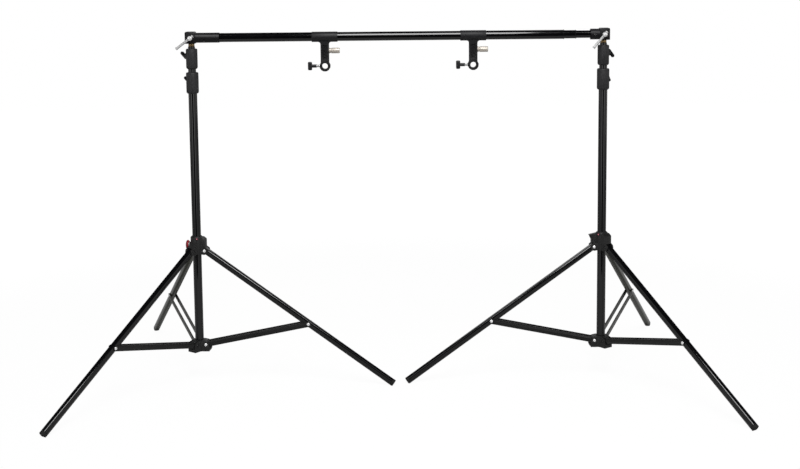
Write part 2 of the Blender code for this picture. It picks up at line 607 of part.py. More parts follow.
def column_tube(name, parent, size, start, end):
    """One upright tube of the column."""
    body = tube(TUBE_RADII[size], TUBE_BORES[size], 0, end - start)
    return finished(body, name, parent, GLOSS_BLACK, at=(0, 0, start))


def piston(name, parent, size, start):
    """Plug under a riser that guides it in the tube round it and cushions its fall."""
    flange, plug = TUBE_RADII[size], TUBE_BORES[size] - GAP
    top = PISTON_FLANGE + PISTON_PLUG_LENGTH
    profile = [(0, 0), (flange, 0), (flange, PISTON_FLANGE), (plug, PISTON_FLANGE), (plug, top), (0, top)]
    return finished(turned(profile, sides=BOSS_SIDES), name, parent, SATIN_BLACK, at=(0, 0, start))


def collar(name, parent, size, radius, height, bottom, drop, bearing):
    """Collar that grips a tube's end and guides the next tube, with a boss for its knob."""
    seat = TUBE_RADII[size] + GAP
    guide = TUBE_RADII[size + 1] + GAP
    step = COLLAR_GRIP + GAP
    top, low = COLLAR_TOP_ROUND, COLLAR_BOTTOM_ROUND
    profile = [(0, 0)] + arc((radius - low, low), low, -90, 0, 3)
    profile += arc((radius - top, height - top), top, 0, 90, 2) + [(0, height)]
    body = turned(profile)
    at = (0, 0, height - drop)
    axis = polar(1, bearing)
    reach = radius + COLLAR_BOSS_REACH
    united(body, rod(COLLAR_BOSS_RADIUS, 0, reach, axis=axis, at=at, sides=BOSS_SIDES))
    cut(body, rod(LOCK_SCREW_RADIUS + GAP, guide / 2, reach + MM, axis=axis, at=at),
        turned([(0, -MM), (seat, -MM), (seat, step), (guide, step), (guide, height + MM), (0, height + MM)]))
    return finished(body, name, parent, SATIN_BLACK, at=(0, 0, bottom))


def winged_knob(name, parent, size, radius, height, bearing, turn):
    """Knob with a wing, on a screw that presses on a riser; its origin is on the screw's axis."""
    seat = radius + COLLAR_BOSS_REACH + GAP
    wing_start = seat + WING_NECK_LENGTH
    wing_end = wing_start + WING_DEPTH
    neck = rod(WING_NECK_RADIUS, seat, wing_start + MM, axis=(1, 0, 0), sides=BOSS_SIDES)
    outline = rounded_rectangle(WING_HEIGHT / 2, WING_LENGTH / 2, WING_CORNER)
    wing = moved(extruded(outline, wing_start, wing_end, "YZ"), Matrix.Rotation(turn, 4, "X"))
    screw = rod(LOCK_SCREW_RADIUS, TUBE_RADII[size + 1] + GAP, seat + MM, axis=(1, 0, 0))
    united(neck, wing, screw)
    return finished(neck, name, parent, SATIN_BLACK, at=(0, 0, height), bearing=bearing)


def spigot(name, parent):
    """Brass spigot: a plug in the top tube, a flange, and a grooved stud for the crossbar's socket."""
    radius = SPIGOT_DIAMETER / 2
    plug = TUBE_BORES[2] - GAP
    flange = FLANGE_DIAMETER / 2
    groove = radius - SPIGOT_GROOVE_DEPTH
    base = FLANGE_HEIGHT
    middle = BAR_HEIGHT - FLANGE_BOTTOM
    low, high = middle - SPIGOT_GROOVE_HEIGHT / 2, middle + SPIGOT_GROOVE_HEIGHT / 2
    top = base + SPIGOT_HEIGHT
    profile = [(0, -SPIGOT_PLUG_LENGTH), (plug, -SPIGOT_PLUG_LENGTH), (plug, 0), (flange, 0),
               (flange, base - MM), (flange - MM, base), (radius, base), (radius, low), (groove, low + MM),
               (groove, high - MM), (radius, high), (radius, top - MM), (radius - MM, top), (0, top)]
    return finished(turned(profile, sides=BOSS_SIDES), name, parent, BRASS, at=(0, 0, FLANGE_BOTTOM))


def socket(name, parent, side, at):
    """Cast socket of the crossbar over a spigot; side is +1 where the bar runs off to +X."""
    low_x, high_x = sorted((-side * SOCKET_OUTER_SIDE, side * SOCKET_INNER_SIDE))
    body = block((low_x, -SOCKET_HALF_DEPTH, -SOCKET_BELOW_BAR), (high_x, SOCKET_HALF_DEPTH, SOCKET_ABOVE_BAR))
    bevelled(body, SOCKET_CORNER, 4, lambda a, b: abs(a.z - b.z) > MM and a.x * side < 0)
    bevelled(body, SOCKET_TOP_ROUND, 3, lambda a, b: min(a.z, b.z) > SOCKET_ABOVE_BAR - MM / 10)
    pad = rod(SOCKET_PAD_RADIUS, 0, SOCKET_HALF_DEPTH + SOCKET_PAD_HEIGHT, axis=(0, -1, 0), sides=BOSS_SIDES)
    united(body, pad)
    if side > 0:
        end = SOCKET_INNER_SIDE + LEFT_FITTING_LENGTH
        united(body, rod(LEFT_FITTING_RADIUS, 0, end, axis=(1, 0, 0), sides=TUBE_SIDES))
        cut(body, rod(BAR_RADII[0] + GAP, SOCKET_INNER_SIDE, end + MM, axis=(1, 0, 0), sides=TUBE_SIDES))
    else:
        end = SOCKET_INNER_SIDE + RIGHT_FITTING_LENGTH
        united(body, rod(RIGHT_FITTING_RADIUS, 0, end, axis=(-1, 0, 0), sides=TUBE_SIDES))
        cut(body, rod(END_SCREW_RADIUS + GAP, BAR_RADII[2] / 2, 2 * RIGHT_FITTING_RADIUS, axis=(0, -1, 0),
                      at=(-end_screw_place(), 0, 0)),
            rod(BAR_RADII[2] + GAP, SOCKET_INNER_SIDE, end + MM, axis=(-1, 0, 0), sides=TUBE_SIDES))
    bore = SPIGOT_DIAMETER / 2 + GAP
    cut(body, rod(CLAMP_SCREW_RADIUS + GAP, bore / 2, 2 * SOCKET_HALF_DEPTH, axis=(0, -1, 0)),
        rod(bore, -SOCKET_BELOW_BAR - MM, SOCKET_ABOVE_BAR - SOCKET_ROOF, sides=TUBE_SIDES))
    return finished(body, name, parent, CAST_GREY, at=at)


def end_screw_place():
    """Distance from the right spigot's axis to the screw that holds the third bar tube."""
    return SOCKET_INNER_SIDE + RIGHT_FITTING_LENGTH - END_SCREW_INSET


def clamp_screw(name, parent, at, drop):
    """Screw that clamps a spigot, its head drilled for the tommy bar."""
    tip = SPIGOT_DIAMETER / 2 - SPIGOT_GROOVE_DEPTH + GAP
    seat = SOCKET_HALF_DEPTH + SOCKET_PAD_HEIGHT + GAP
    end = seat + CLAMP_HEAD_LENGTH
    shaft = CLAMP_SCREW_RADIUS
    head = CLAMP_HEAD_RADIUS
    profile = [(0, tip), (shaft - MM, tip), (shaft, tip + MM), (shaft, seat), (head, seat),
               (head, end - 2 * MM), (head - 2 * MM, end), (0, end)]
    body = turned(profile, axis=(0, -1, 0), sides=BOSS_SIDES)
    along_bar = (math.cos(drop), 0, math.sin(drop))
    cut(body, rod(TOMMY_RADIUS + GAP, -2 * head, 2 * head, axis=along_bar, at=(0, tommy_depth(), 0)))
    return finished(body, name, parent, CHROME, at=at)


def tommy_depth():
    """Where a tommy bar crosses its screw, along the screw's axis."""
    return -(SOCKET_HALF_DEPTH + SOCKET_PAD_HEIGHT + GAP + CLAMP_HEAD_LENGTH / 2)


def tommy_bar(name, parent, at, drop):
    """Sliding bar of a clamp screw, hanging down to its upper stop, along +X from the screw's axis."""
    upper = -(CLAMP_HEAD_RADIUS + GAP)
    start = upper - TOMMY_END_LENGTH
    end = start + TOMMY_LENGTH
    lower = end - TOMMY_END_LENGTH
    edge = TOMMY_END_EDGE
    stop = TOMMY_END_RADIUS
    profile = [(0, start), (stop - edge, start), (stop, start + edge), (stop, upper), (TOMMY_RADIUS, upper),
               (TOMMY_RADIUS, lower), (stop, lower), (stop, end - edge), (stop - edge, end), (0, end)]
    body = turned(profile, axis=(1, 0, 0), sides=PIN_SIDES)
    place = (at[0], at[1] + tommy_depth(), at[2])
    return finished(body, name, parent, CHROME, at=place, tilt=math.pi - drop)


def bar_tube(name, parent, size, start, end, hole_at=None):
    """One tube of the crossbar, along +X, ending in a rolled lip or at its screw."""
    outer, bore = BAR_RADII[size], BAR_BORES[size]
    profile = [(bore, start), (outer, start)]
    if hole_at is None:
        lip = outer + BAR_LIP_HEIGHT
        lip_start = end - BAR_LIP_LENGTH
        profile += [(outer, lip_start), (lip, lip_start + MM / 2), (lip, end), (bore, end)]
    else:
        profile += [(outer, end), (bore, end)]
    body = turned(profile, axis=(1, 0, 0))
    if hole_at is not None:
        cut(body, rod(END_SCREW_RADIUS + GAP, 0, 2 * outer, axis=(0, -1, 0), at=(hole_at, 0, 0)))
    return finished(body, name, parent, GLOSS_BLACK, at=(0, 0, BAR_HEIGHT))


def bar_end_screw(name, parent):
    """Small screw that holds the third bar tube in the right socket."""
    seat = RIGHT_FITTING_RADIUS + GAP
    end = seat + END_SCREW_HEAD_HEIGHT
    tip = BAR_BORES[2]
    body = turned([(0, tip), (END_SCREW_RADIUS, tip), (END_SCREW_RADIUS, seat), (END_SCREW_HEAD_RADIUS, seat),
                   (END_SCREW_HEAD_RADIUS, end - MM / 2), (END_SCREW_HEAD_RADIUS - MM / 2, end), (0, end)],
                  axis=(0, -1, 0), sides=PIN_SIDES)
    return finished(body, name, parent, CHROME, at=(STAND_SPACING - end_screw_place(), 0, BAR_HEIGHT))


def bracket_side():
    """Side outline of a bracket under the bar: rail, filleted stem and the ring's round end."""
    half_rail = BRACKET_SLEEVE_LENGTH / 2
    half_stem = STEM_WIDTH / 2
    rail = -(BAR_RADII[0] + GAP + BRACKET_SLEEVE_WALL + BRACKET_RAIL_HEIGHT)
    fillet = STEM_FILLET
    join = math.degrees(math.acos(half_stem / RING_RADIUS))
    ring = arc((0, -RING_DROP), RING_RADIUS, join, -180 - join, 3 * ARC_STEPS)
    right = arc((half_stem + fillet, rail - fillet), fillet, 90, 180, 4)
    left = arc((-half_stem - fillet, rail - fillet), fillet, 0, 90, 4)
    return [(-half_rail, 0), (half_rail, 0), (half_rail, rail)] + right + ring + left + [(-half_rail, rail)]


def bracket(name, parent, position):
    """Moulded bracket that slides on the bar; its origin is on the bar's axis over its stem."""
    half_length = BRACKET_SLEEVE_LENGTH / 2
    half_depth = BRACKET_DEPTH / 2
    seat = BAR_RADII[0] + GAP
    body = rod(seat + BRACKET_SLEEVE_WALL, -half_length, half_length, axis=(1, 0, 0), sides=TUBE_SIDES)
    united(body, extruded(bracket_side(), -half_depth, half_depth, "XZ"))
    panel_half = STEM_WIDTH / 2 - STEM_RIM
    middle = (STEM_PANEL_TOP + STEM_PANEL_BOTTOM) / 2
    panel_drop = (STEM_PANEL_BOTTOM - STEM_PANEL_TOP) / 2
    panel = [(u, v - middle) for u, v in rounded_rectangle(panel_half, panel_drop, STEM_PANEL_CORNER)]
    ring = (0, 0, -RING_DROP)
    stud = (0, 0, -STUD_DROP)
    cut(body, extruded(panel, half_depth - STEM_PANEL_DEPTH, half_depth + MM, "XZ"),
        extruded(panel, -half_depth - MM, -half_depth + STEM_PANEL_DEPTH, "XZ"),
        rod(seat, -half_length - MM, half_length + MM, axis=(1, 0, 0), sides=TUBE_SIDES),
        rod(RING_SCREW_RADIUS + GAP, RING_HOLE_RADIUS / 2, RING_RADIUS + MM, axis=(-1, 0, 0), at=ring),
        rod(RING_HOLE_RADIUS, -BRACKET_DEPTH, BRACKET_DEPTH, axis=(0, 1, 0), at=ring, sides=BOSS_SIDES),
        rod(STUD_ROOT_RADIUS + GAP, STEM_WIDTH / 2 - STUD_ROOT_LENGTH, STEM_WIDTH, axis=(1, 0, 0), at=stud))
    return finished(body, name, parent, SATIN_BLACK, at=(position, 0, BAR_HEIGHT))


def bracket_stud(name, parent, position):
    """Steel stud in the side of a bracket's stem, with a flange and a groove at its foot."""
    radius = STUD_DIAMETER / 2
    start = STEM_WIDTH / 2 + GAP
    flange = start + STUD_FLANGE_LENGTH
    groove = flange + STUD_GROOVE_LENGTH
    end = start + STUD_LENGTH
    root = STEM_WIDTH / 2 - STUD_ROOT_LENGTH + GAP
    profile = [(0, root), (STUD_ROOT_RADIUS, root), (STUD_ROOT_RADIUS, start), (radius, start),
               (radius, flange), (STUD_GROOVE_RADIUS, flange + MM), (STUD_GROOVE_RADIUS, groove - MM / 2),
               (radius, groove + MM / 2), (radius, end - MM), (radius - MM, end), (0, end)]
    body = turned(profile, axis=(1, 0, 0), sides=BOSS_SIDES)
    return finished(body, name, parent, CHROME, at=(position, 0, BAR_HEIGHT - STUD_DROP))


def bracket_knob(name, parent, position):
    """Winged knob whose screw enters the bracket's ring; its origin is the ring's centre."""
    wing_start = RING_NECK_START + RING_NECK_LENGTH
    body = rod(RING_NECK_RADIUS, RING_NECK_START, wing_start + MM, axis=(-1, 0, 0), sides=BOSS_SIDES)
    outline = rounded_rectangle(RING_WING_HEIGHT / 2, RING_WING_LENGTH / 2, RING_WING_CORNER)
    wing = extruded(outline, -wing_start - RING_WING_DEPTH, -wing_start, "YZ")
    screw = rod(RING_SCREW_RADIUS, RING_HOLE_RADIUS + GAP, RING_NECK_START + MM, axis=(-1, 0, 0))
    united(body, wing, screw)
    return finished(body, name, parent, SATIN_BLACK, at=(position, 0, BAR_HEIGHT - RING_DROP))


def stand(side, root, x, bearing, leg_names, hoods, upper_knob, lower_knob):
    """One folding light stand; its legs are named, and their hoods given, in the order of their bearings."""
    column = frame(f"{side}_stand", root, at=(x, 0, 0))
    fold = frame(f"{side}_fold", column, bearing=bearing)
    column_tube(f"{side}_lower_tube", column, 0, LOWER_TUBE_START, LOWER_TUBE_END)
    base_hub(f"{side}_base_hub", fold)
    leg_hub(f"{side}_leg_hub", fold, hoods)
    hub_knob(f"{side}_hub_knob", fold)
    for leg_name, leg_bearing in zip(leg_names, LEG_BEARINGS):
        leg(f"{side}_{leg_name}_leg", fold, leg_bearing)
        foot(f"{side}_{leg_name}_foot", fold, leg_bearing)
        brace(f"{side}_{leg_name}_brace", fold, leg_bearing)
    piston(f"{side}_middle_piston", column, 1, MIDDLE_PISTON_START)
    column_tube(f"{side}_middle_tube", column, 1, MIDDLE_TUBE_START, MIDDLE_TUBE_END)
    piston(f"{side}_top_piston", column, 2, TOP_PISTON_START)
    column_tube(f"{side}_top_tube", column, 2, TOP_TUBE_START, TOP_TUBE_END)
    spigot(f"{side}_spigot", column)
    drop, knob_bearing, turn = lower_knob
    radius = LOWER_COLLAR_DIAMETER / 2
    collar(f"{side}_lower_collar", column, 0, radius, LOWER_COLLAR_HEIGHT, LOWER_COLLAR_BOTTOM, drop,
           knob_bearing)
    winged_knob(f"{side}_lower_knob", column, 0, radius, LOWER_COLLAR_TOP - drop, knob_bearing, turn)
    drop, knob_bearing, turn = upper_knob
    radius = UPPER_COLLAR_DIAMETER / 2
    collar(f"{side}_upper_collar", column, 1, radius, UPPER_COLLAR_HEIGHT, UPPER_COLLAR_BOTTOM, drop,
           knob_bearing)
    winged_knob(f"{side}_upper_knob", column, 1, radius, UPPER_COLLAR_TOP - drop, knob_bearing, turn)


def crossbar(root):
    """Telescopic crossbar, measured from the left spigot's axis."""
    bar = frame("crossbar", root, at=(-STAND_SPACING / 2, 0, 0))
    left = (0, 0, BAR_HEIGHT)
    right = (STAND_SPACING, 0, BAR_HEIGHT)
    inner = SOCKET_INNER_SIDE + GAP
    tube_1_end = STAND_SPACING - BAR_TUBE_1_SHORT_OF_RIGHT
    tube_2_end = tube_1_end + BAR_TUBE_2_SHOWING
    tube_3_end = STAND_SPACING - inner
    bar_tube("bar_tube_1", bar, 0, inner, tube_1_end)
    bar_tube("bar_tube_2", bar, 1, BAR_TUBE_2_START, tube_2_end)
    bar_tube("bar_tube_3", bar, 2, BAR_TUBE_3_START, tube_3_end, hole_at=STAND_SPACING - end_screw_place())
    bar_end_screw("bar_end_screw", bar)
    for side, sign, at, drop in (("left", 1, left, LEFT_TOMMY_DROP), ("right", -1, right, RIGHT_TOMMY_DROP)):
        socket(f"{side}_socket", bar, sign, at)
        clamp_screw(f"{side}_clamp_screw", bar, at, drop)
        tommy_bar(f"{side}_tommy_bar", bar, at, drop)
    for number, position in ((1, BRACKET_1_POSITION), (2, BRACKET_2_POSITION)):
        bracket(f"bracket_{number}", bar, position)
        bracket_stud(f"bracket_{number}_stud", bar, position)
        bracket_knob(f"bracket_{number}_knob", bar, position)


def centre_on_floor(root):
    """Puts the middle of the bounding box over the origin, along Y."""
    bpy.context.view_layer.update()
    depths = [(piece.matrix_world @ vertex.co).y for piece in bpy.data.objects if piece.type == "MESH"
              for vertex in piece.data.vertices]
    root.location.y = -(min(depths) + max(depths)) / 2
    bpy.context.view_layer.update()


def build():
    for old in list(bpy.data.objects):
        bpy.data.objects.remove(old)
    root = frame("backdrop_stand")
    stand("left", root, -STAND_SPACING / 2, LEFT_STAND_BEARING, ("inner", "front", "back"),
          (plain_hood, low_hood, horned_hood),
          (LEFT_UPPER_KNOB_DROP, LEFT_UPPER_KNOB_BEARING, LEFT_UPPER_KNOB_TURN),
          (LEFT_LOWER_KNOB_DROP, LEFT_LOWER_KNOB_BEARING, LEFT_LOWER_KNOB_TURN))
    stand("right", root, STAND_SPACING / 2, RIGHT_STAND_BEARING, ("front", "inner", "back"),
          (plain_hood, horned_hood, horned_hood),
          (RIGHT_UPPER_KNOB_DROP, RIGHT_UPPER_KNOB_BEARING, RIGHT_UPPER_KNOB_TURN),
          (RIGHT_LOWER_KNOB_DROP, RIGHT_LOWER_KNOB_BEARING, RIGHT_LOWER_KNOB_TURN))
    crossbar(root)
    centre_on_floor(root)


build()
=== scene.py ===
"""Looks of the backdrop stand: finishes, rivet heads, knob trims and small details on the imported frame."""

import json
import math

import bmesh
import bpy
from mathutils import Matrix, Vector

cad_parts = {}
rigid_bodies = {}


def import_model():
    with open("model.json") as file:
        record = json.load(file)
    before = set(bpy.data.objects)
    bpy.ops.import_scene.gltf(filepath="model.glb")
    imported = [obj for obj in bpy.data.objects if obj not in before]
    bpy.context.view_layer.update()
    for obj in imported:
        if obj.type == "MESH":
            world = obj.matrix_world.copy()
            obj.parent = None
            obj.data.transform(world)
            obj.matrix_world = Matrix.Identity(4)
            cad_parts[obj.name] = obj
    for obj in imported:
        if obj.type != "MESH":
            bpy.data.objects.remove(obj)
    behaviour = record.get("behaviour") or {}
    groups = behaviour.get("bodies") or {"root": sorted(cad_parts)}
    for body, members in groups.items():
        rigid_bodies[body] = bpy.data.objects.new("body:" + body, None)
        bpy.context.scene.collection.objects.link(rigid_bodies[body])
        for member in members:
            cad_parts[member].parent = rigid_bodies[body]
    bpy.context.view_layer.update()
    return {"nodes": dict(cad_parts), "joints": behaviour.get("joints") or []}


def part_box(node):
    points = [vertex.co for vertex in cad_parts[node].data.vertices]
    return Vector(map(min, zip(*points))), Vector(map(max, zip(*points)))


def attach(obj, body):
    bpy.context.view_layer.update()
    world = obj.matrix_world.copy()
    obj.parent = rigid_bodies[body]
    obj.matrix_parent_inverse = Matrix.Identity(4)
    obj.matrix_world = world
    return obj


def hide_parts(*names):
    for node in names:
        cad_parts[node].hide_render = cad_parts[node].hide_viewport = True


for old in list(bpy.data.objects):
    bpy.data.objects.remove(old)

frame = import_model()
nodes = frame["nodes"]
joints = {joint["name"]: joint for joint in frame["joints"]}

MM = 0.001
MM_PER_METRE = 1000
UP = Vector((0, 0, 1))
SIDES = ("left", "right")
LEGS = ("inner", "front", "back")
TUBES = (1, 2, 3)
BRACKETS = (1, 2)

# Sizes shared with the solids
HUB_PIVOT_RADIUS = 24.5 * MM
HUB_PIVOT_HEIGHT = 388.5 * MM
FOOT_CIRCLE_RADIUS = 572.0 * MM
FOOT_END_HEIGHT = 5.6 * MM
LEG_PIN_DISTANCE = 368.0 * MM
LEG_TILT = math.atan2(HUB_PIVOT_HEIGHT - FOOT_END_HEIGHT, FOOT_CIRCLE_RADIUS - HUB_PIVOT_RADIUS)
HUB_PIN_SEAT = 12.85 * MM
LEG_PIN_SEAT = 11.05 * MM
BASE_PIN_SEAT = 14.85 * MM
HUB_TOP = 43.0 * MM
HUB_SLEEVE_RADIUS = 18.0 * MM
HUB_TOP_CHAMFER = 4.0 * MM
HUB_BOSS_REACH = 20.5 * MM
HUB_KNOB_GAP = 0.3 * MM
HUB_KNOB_LENGTH = 11.0 * MM
RING_DROP = 84.0 * MM
RING_NECK_START = 24.0 * MM


# Shader nodes

def add(tree, kind, **values):
    """Adds a node to a tree and sets its properties."""
    node = tree.nodes.new(kind)
    for key, value in values.items():
        setattr(node, key, value)
    return node


def put(node, **values):
    """Sets a node's inputs, named here with underscores for spaces."""
    for key, value in values.items():
        node.inputs[key.replace("_", " ")].default_value = value
    return node


def computed(tree, operation, *values):
    """Output of a Math node on numbers and on the outputs of other nodes."""
    node = add(tree, "ShaderNodeMath", operation=operation)
    for place, value in enumerate(values):
        if isinstance(value, float):
            node.inputs[place].default_value = value
        else:
            tree.links.new(value, node.inputs[place])
    return node.outputs[0]


def rise(tree, value, levels, top=1.0):
    """Output that goes smoothly from 0 to a top value while another one goes between two levels."""
    node = add(tree, "ShaderNodeMapRange", interpolation_type="SMOOTHSTEP")
    put(node, From_Min=levels[0], From_Max=levels[1], To_Max=top)
    tree.links.new(value, node.inputs["Value"])
    return node.outputs["Result"]


# Materials

PATCHES_PER_MM = 0.02
GRAIN_SPAN = (0.30, 0.70)
LEAST_ROUGHNESS = 0.03
PIT_DEPTH_SHARE = 2.5


def surface(name, colour, roughness, metallic=0.0, specular=0.5, shade=0.25, spread=0.06, grain=2.0,
            depth=0.02, stretch=(1, 1, 1), turn=None, pits=0.0):
    """Painted, cast, moulded or plated surface: mottled colour and roughness, with a fine grain in relief.

    Grain and pits are in lumps per millimetre, and the depth of the relief is in millimetres. A number
    under 1 in stretch draws the grain out along that axis. Large faint patches are mixed into it.
    """
    material = bpy.data.materials.new(name)
    material.use_nodes = True
    tree = material.node_tree
    link = tree.links.new
    shader = put(tree.nodes["Principled BSDF"], Metallic=metallic, Specular_IOR_Level=specular)

    place = add(tree, "ShaderNodeTexCoord").outputs["Object"]
    along = place
    if turn is not None:
        rotate = add(tree, "ShaderNodeVectorRotate", rotation_type="EULER_XYZ", invert=True)
        put(rotate, Rotation=turn)
        link(place, rotate.inputs["Vector"])
        along = rotate.outputs["Vector"]
    stretched = put(add(tree, "ShaderNodeMapping"), Scale=[MM_PER_METRE * value for value in stretch])
    link(along, stretched.inputs["Vector"])
    millimetres = put(add(tree, "ShaderNodeMapping"), Scale=[MM_PER_METRE] * 3)
    link(place, millimetres.inputs["Vector"])

    fine = put(add(tree, "ShaderNodeTexNoise"), Scale=grain, Detail=4.0, Roughness=0.6)
    link(stretched.outputs["Vector"], fine.inputs["Vector"])
    broad = put(add(tree, "ShaderNodeTexNoise"), Scale=PATCHES_PER_MM, Detail=3.0, Roughness=0.5)
    link(millimetres.outputs["Vector"], broad.inputs["Vector"])
    half = computed(tree, "MULTIPLY", broad.outputs["Fac"], 0.5)
    mottle = computed(tree, "MULTIPLY_ADD", fine.outputs["Fac"], 0.5, half)

    ramp = add(tree, "ShaderNodeValToRGB")
    for stop, level, factor in zip(ramp.color_ramp.elements, GRAIN_SPAN, (1 - shade, 1 + shade)):
        stop.position = level
        stop.color = (*[channel * factor for channel in colour], 1)
    link(mottle, ramp.inputs["Fac"])
    link(ramp.outputs["Color"], shader.inputs["Base Color"])

    rough = put(add(tree, "ShaderNodeMapRange"), From_Min=GRAIN_SPAN[0], From_Max=GRAIN_SPAN[1],
                To_Min=max(roughness - spread, LEAST_ROUGHNESS), To_Max=roughness + spread)
    link(mottle, rough.inputs["Value"])
    link(rough.outputs["Result"], shader.inputs["Roughness"])

    relief = put(add(tree, "ShaderNodeBump"), Strength=0.6, Distance=depth * MM)
    link(fine.outputs["Fac"], relief.inputs["Height"])
    if pits:
        cells = put(add(tree, "ShaderNodeTexVoronoi"), Scale=pits)
        link(millimetres.outputs["Vector"], cells.inputs["Vector"])
        pitted = put(add(tree, "ShaderNodeBump"), Strength=0.5, Distance=PIT_DEPTH_SHARE * depth * MM)
        link(cells.outputs["Distance"], pitted.inputs["Height"])
        link(relief.outputs["Normal"], pitted.inputs["Normal"])
        relief = pitted
    link(relief.outputs["Normal"], shader.inputs["Normal"])
    return material


BLACK = (0.0018, 0.0018, 0.0022)
STRIP_BLACK = (0.005, 0.005, 0.005)
# Lighter olive blacks of the back legs and strips: painted reflection of the floor and of the back light
PAINTED_LIGHT_BLACK = (0.028, 0.029, 0.021)
PAINTED_LIGHT_STRIP_BLACK = (0.018, 0.0185, 0.0135)
ALONG_X = (0.01, 1, 1)
ALONG_Z = (1, 1, 0.01)

# Colour and shine of the legs and of their strips. The back ones get a lighter olive black: painted light,
# standing in for the floor's reflection and the back light on them
LEG_LOOK = (BLACK, 0.30)
STRIP_LOOK = (STRIP_BLACK, 0.22)
PAINTED_LIGHT_LEG_LOOK = (PAINTED_LIGHT_BLACK, 0.26)
PAINTED_LIGHT_STRIP_LOOK = (PAINTED_LIGHT_STRIP_BLACK, 0.10)

# Drawn, painted and cast black
upright = surface("drawn_upright", BLACK, 0.07, specular=0.36, shade=0.3, spread=0.03, grain=0.9,
                  depth=0.001, stretch=ALONG_Z)
lengthwise = surface("drawn_lengthwise", BLACK, 0.08, specular=0.34, shade=0.3, spread=0.03, grain=0.9,
                     depth=0.001, stretch=ALONG_X)
cast = surface("cast_coat", (0.011, 0.011, 0.011), 0.44, specular=0.20, shade=0.45, spread=0.10,
               grain=0.5, depth=0.12, pits=0.6)
gloss_cast = surface("gloss_cast", (0.004, 0.004, 0.005), 0.44, specular=0.17, shade=0.3, spread=0.06,
                     grain=0.6, depth=0.03)

# Moulded black and rubber
moulded = surface("moulded_grain", (0.015, 0.015, 0.016), 0.50, specular=0.22, shade=0.40, spread=0.09,
                  grain=0.9, depth=0.12, pits=0.8)
smooth_moulded = surface("smooth_grain", (0.009, 0.009, 0.010), 0.46, specular=0.20, shade=0.30,
                         spread=0.07, grain=1.2, depth=0.05, pits=1.2)
knob_black = surface("knob_grain", (0.007, 0.007, 0.008), 0.40, specular=0.25, shade=0.25, spread=0.06,
                     grain=1.8, depth=0.03)
rubber = surface("rubber", (0.008, 0.008, 0.008), 0.70, specular=0.2, shade=0.3, spread=0.08, grain=1.4,
                 depth=0.06)

# Metals
steel = surface("bright_plating", (0.62, 0.62, 0.62), 0.16, metallic=1.0, shade=0.06, spread=0.04,
                grain=1.2, depth=0.004)
stud_steel = surface("turned_steel", (0.42, 0.385, 0.34), 0.36, metallic=0.3, shade=0.12, spread=0.05,
                     grain=0.9, depth=0.006, stretch=(3, 0.1, 0.1))
satin = surface("satin_plating", (0.40, 0.40, 0.40), 0.36, metallic=0.15, specular=0.25, shade=0.08,
                spread=0.05, grain=1.2, depth=0.004)
rivet_metal = surface("dull_plating", (0.78, 0.78, 0.78), 0.38, metallic=0.75, shade=0.06, spread=0.05,
                      grain=1.2, depth=0.004)
brass = surface("turned_brass", (0.20, 0.14, 0.07), 0.36, metallic=1.0, shade=0.2, spread=0.06,
                grain=1.2, depth=0.006, stretch=(0.2, 0.2, 4))

# Red trims
red = surface("red_trim", (0.36, 0.012, 0.018), 0.38, specular=0.35, shade=0.12, spread=0.05, grain=1.6,
              depth=0.01)
maroon = surface("maroon_seat", (0.085, 0.006, 0.014), 0.46, specular=0.25, shade=0.12, spread=0.05,
                 grain=1.6, depth=0.01)
pink = surface("pale_red_dot", (0.50, 0.20, 0.25), 0.42, specular=0.4, shade=0.12, spread=0.05,
               grain=1.6, depth=0.01)

STAND_FINISHES = (
    (upright, ("lower_tube", "middle_tube", "top_tube")),
    (moulded, ("middle_piston", "top_piston", "lower_collar", "upper_collar")),
    (knob_black, ("lower_knob", "upper_knob", "hub_knob")),
    (cast, ("base_hub", "leg_hub")),
    (gloss_cast, ("socket",)),
    (brass, ("spigot",)),
    (rivet_metal, ("clamp_screw",)),
    (satin, ("tommy_bar",)),
)


def column_axis(side):
    """Point on the axis of a stand's column, at the floor."""
    low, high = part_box(f"{side}_lower_tube")
    return Vector(((low.x + high.x) / 2, (low.y + high.y) / 2, 0))


def leg_pivot(side, leg):
    """Place of the pivot that joins a leg to its hub."""
    return Vector(joints[f"{side}_{leg}_leg_fold"]["pos_m"])


def leg_pin(side, leg):
    """Direction of the pin in that pivot."""
    return Vector(joints[f"{side}_{leg}_leg_fold"]["axis"]).normalized()


def outward(side, leg):
    """Level direction from a column out to one of its legs."""
    reach = leg_pivot(side, leg) - column_axis(side)
    reach.z = 0
    return reach.normalized()


def leg_direction(side, leg):
    """Direction of an open leg, from its pivot to its foot."""
    return outward(side, leg) * math.cos(LEG_TILT) - UP * math.sin(LEG_TILT)


def turned_to(direction, across):
    """Rotation whose X axis is a direction and whose Y axis is a second one across it."""
    x, y = direction.normalized(), across.normalized()
    return Matrix((x, y, x.cross(y))).transposed()


def paint(node, material):
    """Gives a solid one material."""
    for place in nodes[node].material_slots:
        place.material = material


def paint_leg(side, leg):
    """Finishes of a leg, its foot and its strips, with the grain along the leg."""
    turn = turned_to(leg_direction(side, leg), leg_pin(side, leg)).to_euler()
    # Back legs and their strips take the lighter olive black: painted reflection of the floor and of the
    # back light
    painted_light = leg == "back"
    leg_black, leg_shine = PAINTED_LIGHT_LEG_LOOK if painted_light else LEG_LOOK
    strip_black, strip_shine = PAINTED_LIGHT_STRIP_LOOK if painted_light else STRIP_LOOK
    drawn = surface(f"drawn_{side}_{leg}_leg", leg_black, 0.12, specular=leg_shine, shade=0.3, spread=0.02,
                    grain=0.9, depth=0.001, stretch=ALONG_X, turn=turn)
    painted = surface(f"painted_{side}_{leg}_strips", strip_black, 0.32, specular=strip_shine, shade=0.3,
                      spread=0.08, grain=0.8, depth=0.02, stretch=(0.2, 1, 1), turn=turn)
    paint(f"{side}_{leg}_leg", drawn)
    paint(f"{side}_{leg}_foot", rubber)
    paint(f"{side}_{leg}_brace", painted)


